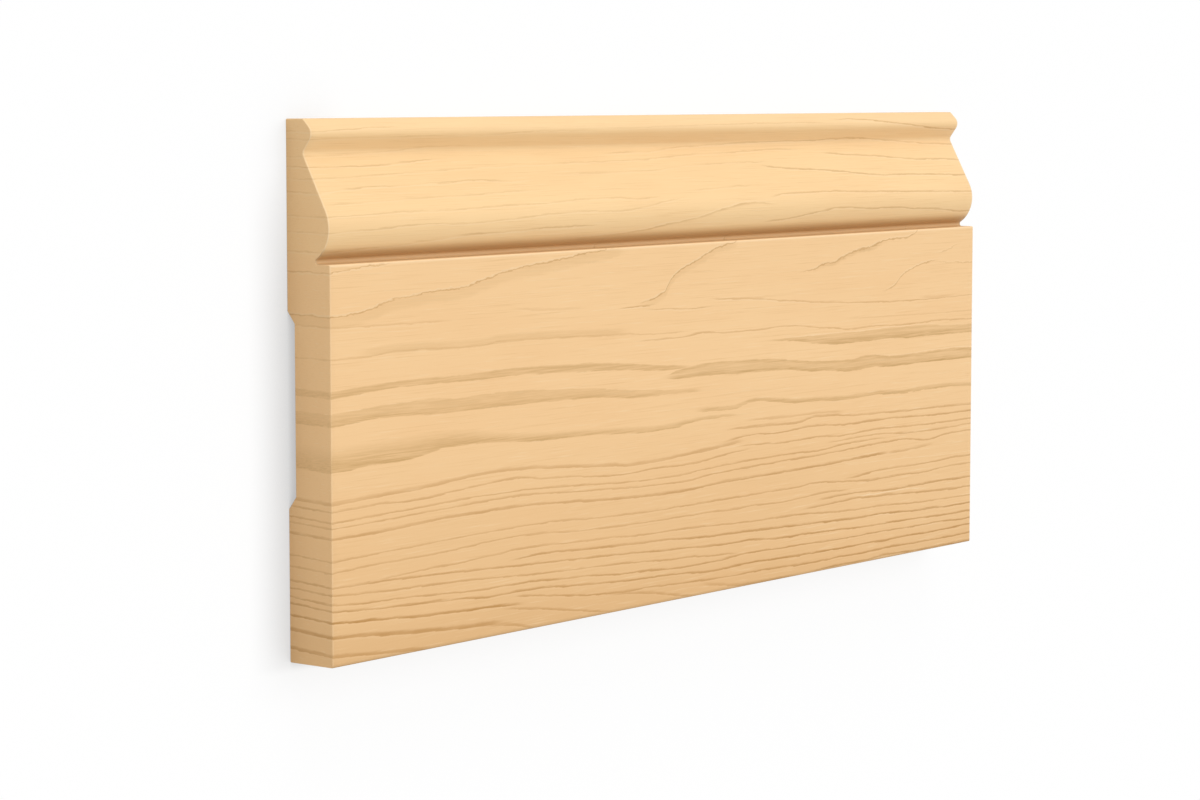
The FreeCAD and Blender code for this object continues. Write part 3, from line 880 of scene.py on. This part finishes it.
def wood_colour(graph, along, up, out, sawn, streak, fibre):
    """The bare wood's colour, laid on from the plain early wood up to the painted shade in the
    quirk.
    """
    planed = 1 - sawn
    late, bands, pale = growth_rings(graph, along, up, out, streak, fibre)
    # Painted highlights: pale arrises where the light catches, laid on with the pale flecks.
    painted_highlight = painted_arris_highlight(along, up, out) * planed
    pale = pale_flecks(along, up, streak).math("MAXIMUM", pale).math("MAXIMUM", painted_highlight)
    colour = graph.mix(EARLY_WOOD, FOOT_WOOD, foot_tone(along, up))
    # The moulding paler, partly its own tone and partly painted light for its lit slope.
    colour = graph.mix(colour, MOULDING_WOOD_AND_PAINTED_LIGHT, up.ease((125, 0), (130, 1)))
    colour = graph.mix(colour, WARM_WOOD, warm_tone(graph, along, up, out))
    colour = graph.mix(colour, FIBRE_WOOD, fibre.ease((0.5, 0), (0.78, 0.5)))
    colour = graph.mix(colour, END_WOOD, sawn * 0.4)
    # Pale flecks of the wood itself, with the painted highlights of the rings and arrises.
    colour = graph.mix(colour, PALE_WOOD_AND_HIGHLIGHT, pale)
    colour = graph.mix(colour, BAND_WOOD, bands * planed.between(0.6, 1.0))
    colour = graph.mix(colour, RING_WOOD, late * planed.between(0.75, 1.0))
    # Painted shade in the quirk, and a darker strip at the very foot.
    return graph.mix(colour, QUIRK_PAINTED_SHADE_WOOD, painted_quirk_shade_and_dark_foot(up, out) * planed)


def pine_material():
    material = bpy.data.materials.new("clear_pine")
    graph = empty_graph(material)
    along, up, out = board_place(graph)
    sawn = sawn_ends(along)
    streak = graph.noise(along / 16, up * 1.7, out * sawn.between(1.7, 0.3), 2.0, 0.6)
    fibre = graph.noise(along / 30, up * 3.2, out * sawn.between(3.2, 0.7), 4.0, 0.65)
    relief = {"Strength": FIBRE_RELIEF, "Distance": FIBRE_HEIGHT * MM, "Height": fibre}
    shader = graph.node("ShaderNodeBsdfPrincipled", {}, {
        "Base Color": wood_colour(graph, along, up, out, sawn, streak, fibre),
        "Roughness": streak.ease((0.3, SMOOTHEST), (0.7, ROUGHEST)),
        "Specular IOR Level": SHINE,
        "Normal": graph.node("ShaderNodeBump", {}, relief),
    })
    graph.end("ShaderNodeOutputMaterial", "Surface", shader)
    return material


# The studio.


def contact_shade(graph):
    """The dark line on the floor beside the near end, where the board keeps the light off."""
    along, up, _ = board_place(graph)
    reach = {"Distance": CONTACT_REACH * MM}
    hidden = 1 - graph.node("ShaderNodeAmbientOcclusion", {"samples": 8}, reach, "AO")
    hidden = hidden * along.ease((30, 0), (10, CONTACT_SHADE))
    return hidden * up.ease((165, 0.3), (110, 1.0)) * up.ease((-4, 0), (0, 1))


def floor_material():
    """Pale floor that the camera sees as white, with the board's shadow kept."""
    material = bpy.data.materials.new("pale_floor")
    graph = empty_graph(material)
    seen = graph.node("ShaderNodeLightPath", {}, (), "Is Camera Ray")
    matt = graph.node("ShaderNodeBsdfDiffuse", {}, {"Color": graph.mix(FLOOR_GREY, WHITE, seen)})
    glow = graph.mix(WHITE, BLACK, contact_shade(graph))
    white = graph.node("ShaderNodeEmission", {}, {"Color": glow, "Strength": 1.0})
    shown = graph.node("ShaderNodeMixShader", {}, (seen * FLOOR_GLOW, matt, white))
    graph.end("ShaderNodeOutputMaterial", "Surface", shown)
    return material


def make_floor():
    mesh = bpy.data.meshes.new("floor")
    reach, level = FLOOR_REACH * MM, -FLOOR_DROP * MM
    corners = [(x * reach, y * reach, level) for x, y in ((-1, -1), (1, -1), (1, 1), (-1, 1))]
    mesh.from_pydata(corners, [], [(0, 1, 2, 3)])
    mesh.materials.append(floor_material())
    floor = bpy.data.objects.new("floor", mesh)
    bpy.context.scene.collection.objects.link(floor)
    floor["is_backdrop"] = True


def make_world():
    """An even sky that the camera sees as white."""
    world = bpy.data.worlds.new("soft_sky")
    bpy.context.scene.world = world
    graph = empty_graph(world)
    seen = graph.node("ShaderNodeLightPath", {}, (), "Is Camera Ray")
    inputs = {"Color": WHITE, "Strength": seen.between(SKY_LIGHT, 1)}
    graph.end("ShaderNodeOutputWorld", "Surface", graph.node("ShaderNodeBackground", {}, inputs))


def make_window(share, towards, spread):
    """Even light from one side, as from a large far window, that gives the face its share."""
    data = bpy.data.lights.new("window", "SUN")
    data.angle = spread
    data.energy = share * math.pi * towards.length / towards.z
    lamp = bpy.data.objects.new("window", data)
    lamp.rotation_euler = (-towards).to_track_quat("-Z", "Y").to_euler()
    bpy.context.scene.collection.objects.link(lamp)


def make_camera():
    ahead = Vector((
        math.cos(CAMERA_TIP) * math.cos(CAMERA_TURN),
        -math.sin(CAMERA_TIP),
        -math.cos(CAMERA_TIP) * math.sin(CAMERA_TURN),
    ))
    right = Vector((math.sin(CAMERA_TURN), 0, math.cos(CAMERA_TURN)))
    up = right.cross(ahead)
    data = bpy.data.cameras.new("camera")
    data.lens = LENS
    data.sensor_width = SENSOR
    data.clip_start, data.clip_end = 0.05, 50
    camera = bpy.data.objects.new("camera", data)
    turn = Matrix((right, up, -ahead)).transposed().to_4x4()
    camera.matrix_world = Matrix.Translation(Vector(CAMERA_AT) * MM) @ turn
    bpy.context.scene.collection.objects.link(camera)
    bpy.context.scene.camera = camera


make_camera()
make_world()
make_floor()
for window in WINDOWS:
    make_window(*window)
bpy.context.scene.view_settings.view_transform = "Standard"

board = make_board(pine_material())
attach(board, "root")
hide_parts(NODE)

boxes = {"cad": cad_box, "visual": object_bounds()}
boxes = {name: [list(corner) for corner in box] for name, box in boxes.items()}
